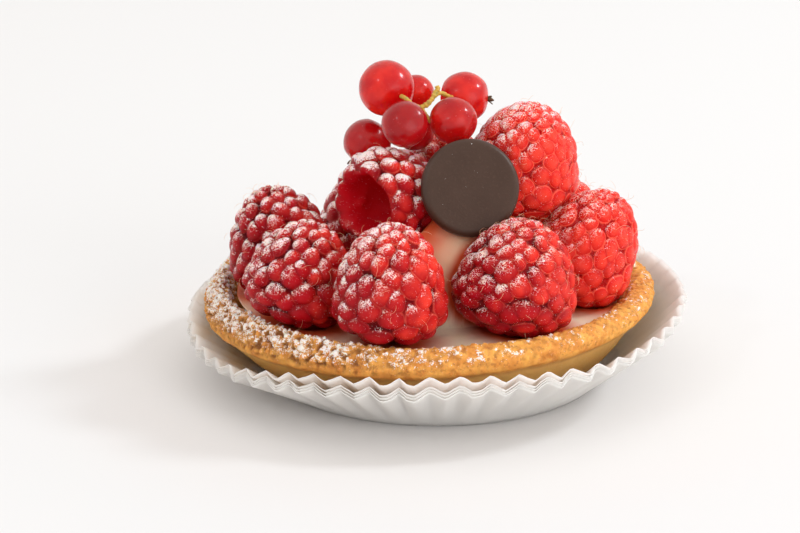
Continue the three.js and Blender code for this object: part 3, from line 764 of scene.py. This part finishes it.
for order, (name, berry) in enumerate(RASPBERRIES.items()):
    middle, tip, (width, length), count, sweetness, warmth, steps = berry
    directions, faces = ball(steps)
    centres = drupelet_directions(count, order)
    scale = drupelet_scale(count)
    index = np.arange(count)
    # every point belongs to the nearest drupelet, and a seam runs where two are equally near
    shift = [0.07 * lumps(directions, 0.45, seed=order + k) for k in (31, 32, 33)]
    sizes = 0.86 + 0.28 * chance(index, order + 90)
    sizes *= ((index + 0.5) / count) ** ((DRUPELET_GRADING - 1) / 2)
    away = np.linalg.norm((directions + np.stack(shift, axis=-1))[:, None] - centres[None], axis=2)
    away /= DRUPELET_REACH * scale * sizes
    nearest, second = np.partition(away, 1, axis=1)[:, :2].T
    seam = step(second - nearest, 0.0, 0.22)
    dome = np.sqrt(np.clip(1 - nearest**2, 0, 1))
    ripeness = chance(index, order + 130)[away.argmin(axis=1)]
    relief = DRUPELET_RELIEF * scale * (1.15 - 0.5 * warmth) * np.minimum(1 - dome, SEAM_DEPTH)
    points = berry_surface(directions, relief, width, length)
    hollow = name == OPEN_BERRY
    core = np.zeros(len(points))
    if hollow:
        opening = np.arccos(np.clip(-directions[:, 2], -1, 1)) / HOLLOW_MOUTH
        opening *= 1 + 0.16 * lumps(directions, 0.42, seed=3)
        depth = 1 - np.clip(opening, 0, 1)
        sideways = directions[:, :2]
        around = sideways / np.maximum(np.linalg.norm(sideways, axis=1), 1e-6)[:, None]
        inward = HOLLOW_RADIUS * (1 - depth**2.4) ** 0.6 - 1.1 * (1 - dome) * (1 - depth) ** 0.5
        mouth = -length / 2 * math.cos(HOLLOW_MOUTH)
        deeper = mouth + (HOLLOW_FLOOR - mouth) * depth
        inner = np.column_stack([around * inward[:, None], deeper])
        blend = step(opening, 1.0, 0.86)[:, None]
        points = points * (1 - blend) + inner * blend
        core = step(opening, 1.02, 0.85)
    rotation = turned_to(tip)
    points = points @ rotation.T
    normals = point_normals(points, faces)
    facing_up = step(0.93 * normals[:, 2] - 0.35 * normals[:, 0], 0.2, 0.95)
    patch = lumps(points, 2.2, seed=order) + 0.8 * lumps(points, 0.7, seed=order + 20)
    sugar = (0.25 + sweetness) * facing_up * (0.75 + 0.6 * patch)
    sugar = sugar * step(seam, 0.3, 0.9) * (1 - core)
    # painted light: each berry is made warmer towards its right side and its tip, as if lit through from the
    # right
    glow = warmth + 0.34 * points[:, 0] / (width / 2) + 0.22 * points[:, 2] / (length / 2)
    points = points + np.array(middle)
    values = {
        "swell": np.clip(2 * dome - 1, 0, 1) * (0.3 + 0.7 * seam),
        "sugar": np.clip(sugar, 0, 1),
        "core": core,
        "ripe": ripeness,
        "warmth": np.clip(glow - 0.06, 0, 1),
    }
    strands = []
    for number, centre in enumerate(centres):
        in_mouth = hollow and centre[2] < BALD_BELOW
        if in_mouth or chance(number, order + 7) < BALD_SHARE:
            continue
        root = berry_surface(centre[None], np.array([0.0]), width, length)[0] @ rotation.T
        out = centre @ rotation.T
        along = np.cross(out, [chance(number, order + k) - 0.5 for k in (11, 12, 13)])
        along /= np.linalg.norm(along)
        size = 1.2 + 1.9 * chance(number, order + 15)
        curl = 0.4 + 1.3 * chance(number, order + 16)
        strands.append(hair(root + np.array(middle), out, along, size, curl))
    hair_faces = repeated(grid_faces(HAIR_ROWS, len(HAIR_SIDES)), len(strands))
    make_piece(
        f"raspberry_fruit_{name}",
        f"raspberry_{name}",
        "raspberry",
        (points, faces, drupelet_skin, values),
        (np.vstack(strands), hair_faces, dry_hair, {}),
    )

# Seven redcurrants hang on one sprig: smooth, thin-skinned and clear enough to glow, each with
# the dry brown remains of its flower at the end away from its stalk.
CURRANT_STEPS = 24
SEPALS = 5
SEPAL_ROWS = 5
SEPAL_HALF_WIDTH = 0.42
SEPAL_HALF_THICKNESS = 0.14
# name: (middle, radius, way that the dry flower points, how much darker its red is made, more on the lower
# ones)
CURRANTS = {
    "upper_left": ((-9.8, 2.0, 57.0), 5.5, (-0.4, 0.85, 0.35), 0.1),
    "upper_back": ((-4.0, 8.9, 54.4), 3.6, (0, 0.9, 0.4), 0.0),
    "upper_right": ((5.5, 4.5, 54.6), 5.0, (0.97, -0.2, -0.02), 0.1),
    "middle": ((-6.3, -9.5, 52.7), 4.5, (-0.3, 0.8, -0.5), 0.8),
    "front": ((3.1, -6.0, 52.5), 4.6, (0.4, 0.6, -0.7), 0.45),
    "left": ((-13.7, 4.1, 45.4), 4.75, (-0.6, -0.25, -0.76), 0.7),
    "lower": ((-4.4, 4.6, 47.9), 4.1, (0.2, 0.6, -0.7), 0.8),
}

currant = Finish("redcurrant_skin")
currant_cloud = currant.speckle(3.5, detail=2)
bloom = currant.speckle(0.35, detail=2, roughness=0.7, seed=3)
vein = currant.made_from("vein")
currant_colour = currant.mix(
    currant_cloud.between(0.3, 0.7), (0.66, 0.002, 0.005), (0.94, 0.028, 0.013)
)
currant_colour = currant.mix(currant.made_from("deep"), currant_colour, (0.46, 0.001, 0.007))
currant_colour = currant.mix(vein * 0.07, currant_colour, (0.85, 0.14, 0.09))
currant_colour = currant.mix(bloom.between(0.66, 0.76) * 0.25, currant_colour, (0.9, 0.6, 0.55))
clear_skin = currant.skin(
    Base_Color=currant_colour,
    Roughness=0.17 + 0.14 * bloom,
    Transmission_Weight=0.5,
    IOR=1.36,
    Specular_IOR_Level=0.22,
    Subsurface_Weight=0.6,
    Subsurface_Radius=(1.0, 0.06, 0.03),
    Subsurface_Scale=3 * MM,
    Coat_Weight=0.3,
    Coat_Roughness=0.08,
    Normal=currant.bump(bloom, 0.02),
)
tuft = Finish("dry_flower")
withered = tuft.skin(
    Base_Color=tuft.mix(tuft.speckle(0.7, detail=3), (0.06, 0.035, 0.018), (0.20, 0.13, 0.07)),
    Roughness=0.85,
    Normal=tuft.bump(tuft.speckle(0.3), 0.1),
)
directions, faces = ball(CURRANT_STEPS)
for order, (name, (middle, radius, flower, depth)) in enumerate(CURRANTS.items()):
    uneven = 1 + 0.012 * lumps(directions * 2, 1.0, seed=order)
    uneven *= 1 - 0.05 * step(np.abs(directions[:, 2]), 0.8, 1.0)
    turn = np.arctan2(directions[:, 1], directions[:, 0])
    veins = step(np.abs(np.sin(5 * turn + 0.5 * directions[:, 2])), 0.12, 0.0)
    body = (directions * uneven[:, None] * radius) @ turned_to(flower).T + np.array(middle)
    petals = []
    for sepal in range(SEPALS):
        lean = sepal * 2 * math.pi / SEPALS + order
        out = np.array([math.cos(lean), math.sin(lean), 0])
        across = np.array([-math.sin(lean), math.cos(lean), 0])
        start = np.array([0, 0, radius * 0.94])
        for share in np.linspace(0, 1, SEPAL_ROWS):
            reach = 0.35 + 0.5 * share * (0.4 + 1.1 * chance(sepal, order + 3))
            rise = 1.1 * share * (0.6 + 0.6 * chance(sepal, order + 5))
            wide = across * (SEPAL_HALF_WIDTH * math.sin(math.pi * (0.2 + 0.75 * share)))
            thick = out * SEPAL_HALF_THICKNESS
            centre = start + out * reach + np.array([0, 0, rise])
            petals += [centre - wide, centre + thick, centre + wide, centre - thick]
    petals = np.array(petals) @ turned_to(flower).T + np.array(middle)
    petal_faces = repeated(grid_faces(SEPAL_ROWS, 4), SEPALS)
    make_piece(
        f"redcurrant_fruit_{name}",
        f"redcurrant_{name}",
        "redcurrant",
        (body, faces, clear_skin, {"vein": veins, "deep": 0 * veins + depth}),
        (petals, petal_faces, withered, {}),
    )

# The sprig is the thin green-gold stalk of the currants, a little knobbly, with three short side
# stalks and a knob where it was picked.
STALK_SIDES = 14
# (radius, corners of its line): the main stalk, the side stalks to the upper left, to the upper
# right and downwards, and the knob
SPRIG_LINES = [
    (0.46, [(-0.2, -3.8, 57.9), (-0.8, -4.4, 56.7), (-1.9, -5.2, 55.6), (-3.3, -5.5, 54.9)]),
    (0.36, [(-3.2, -5.5, 54.9), (-4.9, -5.0, 55.6), (-6.2, -4.0, 56.5), (-7.1, -2.8, 56.6)]),
    (0.40, [(-0.7, -4.2, 57.0), (0.7, -3.2, 57.3), (1.8, -2.2, 56.6), (3.2, -0.1, 55.4)]),
    (0.33, [(-3.0, -5.5, 54.9), (-2.2, -6.0, 53.6), (-1.3, -6.6, 52.2)]),
    (0.40, [(-0.4, -4.0, 57.4), (0.1, -3.7, 58.2), (-0.1, -3.5, 58.8)]),
]


def smooth_line(corners, steps=18):
    """A curve through the corners, with this many points between each two."""
    corners = np.array(corners, float)
    padded = np.vstack([2 * corners[0] - corners[1], corners, 2 * corners[-1] - corners[-2]])
    line = []
    for a, b, c, d in zip(padded, padded[1:], padded[2:], padded[3:]):
        for t in np.linspace(0, 1, steps, endpoint=False):
            curve = 2 * b + (c - a) * t + (2 * a - 5 * b + 4 * c - d) * t**2
            line.append(0.5 * (curve + (3 * b - a - 3 * c + d) * t**3))
    return np.vstack([line, corners[-1:]])


def stalk(line, radius, seed):
    """A knobbly tube round a line, drawn in at its ends."""
    along = np.gradient(line, axis=0)
    along /= np.linalg.norm(along, axis=1, keepdims=True)
    across = np.cross(along, [0.3, 1, 0.2])
    across /= np.linalg.norm(across, axis=1, keepdims=True)
    upward = np.cross(along, across)
    around = np.arange(STALK_SIDES) * 2 * math.pi / STALK_SIDES
    knobs = 0.2 * np.sin(np.arange(len(line)) * 0.35) ** 4
    thick = radius * (1 + 0.25 * lumps(line, 1.1, seed=seed) + knobs)
    thick[[0, -1]] *= 0.35
    rings = line[:, None] + thick[:, None, None] * (
        across[:, None] * np.cos(around)[:, None] + upward[:, None] * np.sin(around)[:, None]
    )
    rough = 0.06 * lumps(rings, 0.6, seed=seed + 4)[..., None]
    return rings + rough * (rings - line[:, None]) / radius


sprig = Finish("currant_stalk")
stalk_stops = [(0.3, (0.30, 0.20, 0.03)), (0.5, (0.62, 0.36, 0.05)), (0.7, (0.42, 0.36, 0.07))]
stalk_colour = sprig.node(
    "ShaderNodeValToRGB", {"stops": stalk_stops}, {0: sprig.speckle(1.3, detail=3)}
)
green_gold = sprig.skin(
    Base_Color=stalk_colour,
    Roughness=0.5,
    Subsurface_Weight=0.2,
    Subsurface_Radius=(1.0, 0.8, 0.3),
    Subsurface_Scale=0.6 * MM,
    Normal=sprig.bump(sprig.speckle(0.35, detail=3), 0.12),
)
stalks = []
for seed, (radius, corners) in enumerate(SPRIG_LINES):
    rings = stalk(smooth_line(corners), radius, seed)
    stalks.append((rings.reshape(-1, 3), grid_faces(*rings.shape[:2])[:, ::-1], green_gold, {}))
make_piece("green_sprig", "currant_sprig", "stalk", *stalks)

# The disc is a thin round of plain dark chocolate with a soft rounded edge, cast in a mould, and
# it stands on edge against the fruit. Its face is bare and satin, with a few specks of sugar.
DISC_CENTRE = (6.1, -16.7, 42.05)
DISC_FACE = (0.1, -0.91, 0.39)
DISC_RADIUS = 9.4
DISC_THICKNESS = 3.2
DISC_EDGE = 1.3
DISC_WAVE = 0.05
DISC_COLUMNS = 144
EDGE_ROWS = 9
FACE_ROWS = 24
# the radius of the smallest ring of points, in the middle of each face
FACE_MIDDLE = 0.004
half = DISC_THICKNESS / 2
corner = np.linspace(0, math.pi / 2, EDGE_ROWS)
edge_radius = DISC_RADIUS - DISC_EDGE + DISC_EDGE * np.cos(corner)
edge_height = half - DISC_EDGE + DISC_EDGE * np.sin(corner)
face_radius = np.linspace(DISC_RADIUS - DISC_EDGE, FACE_MIDDLE, FACE_ROWS)[1:]
edge = np.stack([edge_radius, edge_height], axis=-1)
face = np.stack([face_radius, np.full(len(face_radius), half)], axis=-1)
side_profile = np.vstack([edge, face])
disc_profile = np.vstack([side_profile[::-1] * (1, -1), side_profile])
angle = np.arange(DISC_COLUMNS) * 2 * math.pi / DISC_COLUMNS
disc = revolved(disc_profile[:, :1], disc_profile[:, 1:], angle)
disc = disc + grid_normals(disc) * (DISC_WAVE * lumps(disc, 3.5, seed=2))[..., None]
disc = disc @ turned_to(DISC_FACE).T + np.array(DISC_CENTRE)

chocolate = Finish("dark_chocolate")
cocoa_grain = chocolate.speckle(0.5, detail=3, roughness=0.6)
haze = chocolate.speckle(5, detail=3, seed=2)
sugar_speck = chocolate.speckle(0.3, detail=0, seed=6).between(0.87, 0.90)
cocoa = chocolate.mix(haze, (0.040, 0.018, 0.010), (0.060, 0.030, 0.019))
cocoa = chocolate.mix(cocoa_grain.between(0.5, 0.75) * 0.35, cocoa, (0.082, 0.043, 0.029))
satin_chocolate = chocolate.skin(
    Base_Color=chocolate.mix(sugar_speck, cocoa, (0.85, 0.82, 0.80)),
    Roughness=0.32 + 0.15 * cocoa_grain,
    Specular_IOR_Level=0.32,
    Normal=chocolate.bump(cocoa_grain, 0.035),
)
make_piece(
    "cast_disc",
    "chocolate_disc",
    "chocolate",
    (disc.reshape(-1, 3), grid_faces(*disc.shape[:2]), satin_chocolate, {}),
)

# The studio: a white table top with warm light painted on it close to the tartlet, which lightens and
# warms the shadow there, and a white surround that is a little brighter on the right. The key lamp is
# high on the right and slightly behind, a broad one low at the front right, and a small one on the
# left makes glints. Lengths here are metres.
TABLE_REACH = 3
TABLE_PAINTED_LIGHT_RADII = (0.05, 0.09)
floor_mesh = bpy.data.meshes.new("table_top")
corners = [(x * TABLE_REACH, y * TABLE_REACH, 0) for x, y in ((-1, -1), (1, -1), (1, 1), (-1, 1))]
floor_mesh.from_pydata(corners, [], [(0, 1, 2, 3)])
table_top = bpy.data.objects.new("table_top", floor_mesh)
bpy.context.scene.collection.objects.link(table_top)
table_top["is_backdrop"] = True
white = Finish("white_table")
away = white.node("ShaderNodeVectorMath", {"operation": "LENGTH"}, {0: white.place}, output=1)
near_to_far = away.between(*TABLE_PAINTED_LIGHT_RADII)
# painted light: the table is lighter and warmer within these radii of the tartlet
table_colour = white.mix(near_to_far, (0.785, 0.76, 0.745), (0.755, 0.755, 0.755))
floor_mesh.materials.append(white.skin(Base_Color=table_colour, Roughness=0.7))

world = bpy.data.worlds.new("surround")
bpy.context.scene.world = world
world.use_nodes = True
sky = world.node_tree.nodes["Background"]
sky.inputs["Color"].default_value = (1, 0.965, 0.935, 1)
heading = world.node_tree.nodes.new("ShaderNodeTexCoord")
facing = world.node_tree.nodes.new("ShaderNodeVectorMath")
facing.operation = "DOT_PRODUCT"
facing.inputs[1].default_value = (0.95, 0.05, 0.25)
glow = world.node_tree.nodes.new("ShaderNodeMapRange")
for socket, value in {"From Min": -0.9, "From Max": 0.9, "To Min": 0.94, "To Max": 1.10}.items():
    glow.inputs[socket].default_value = value
world.node_tree.links.new(heading.outputs["Generated"], facing.inputs[0])
world.node_tree.links.new(facing.outputs["Value"], glow.inputs["Value"])
world.node_tree.links.new(glow.outputs[0], sky.inputs["Strength"])

# name: (place, width, watts); they all point at the middle of the tartlet
LAMP_AIM = Vector((0, 0, 0.025))
LAMP_COLOUR = (0.90, 0.97, 1.03)
LAMPS = {
    "key": ((1.25, 0.20, 1.10), 0.30, 8),
    "front": ((1.00, -1.25, 0.32), 1.20, 12),
    "glint": ((-0.84, -0.80, 1.00), 0.08, 1.1),
}
for name, (place, size, watts) in LAMPS.items():
    lamp = bpy.data.lights.new(name, "AREA")
    lamp.shape, lamp.size, lamp.energy = "DISK", size, watts
    lamp.color = LAMP_COLOUR
    lit = bpy.data.objects.new(name, lamp)
    lit.location = place
    lit.rotation_euler = (LAMP_AIM - Vector(place)).to_track_quat("-Z", "Y").to_euler()
    lit.visible_glossy = name != "front"
    bpy.context.scene.collection.objects.link(lit)
bpy.context.scene.view_settings.view_transform = "Standard"

sizes = {"cad": [list(corner) for corner in cad_box], "visual": [list(corner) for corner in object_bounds()]}
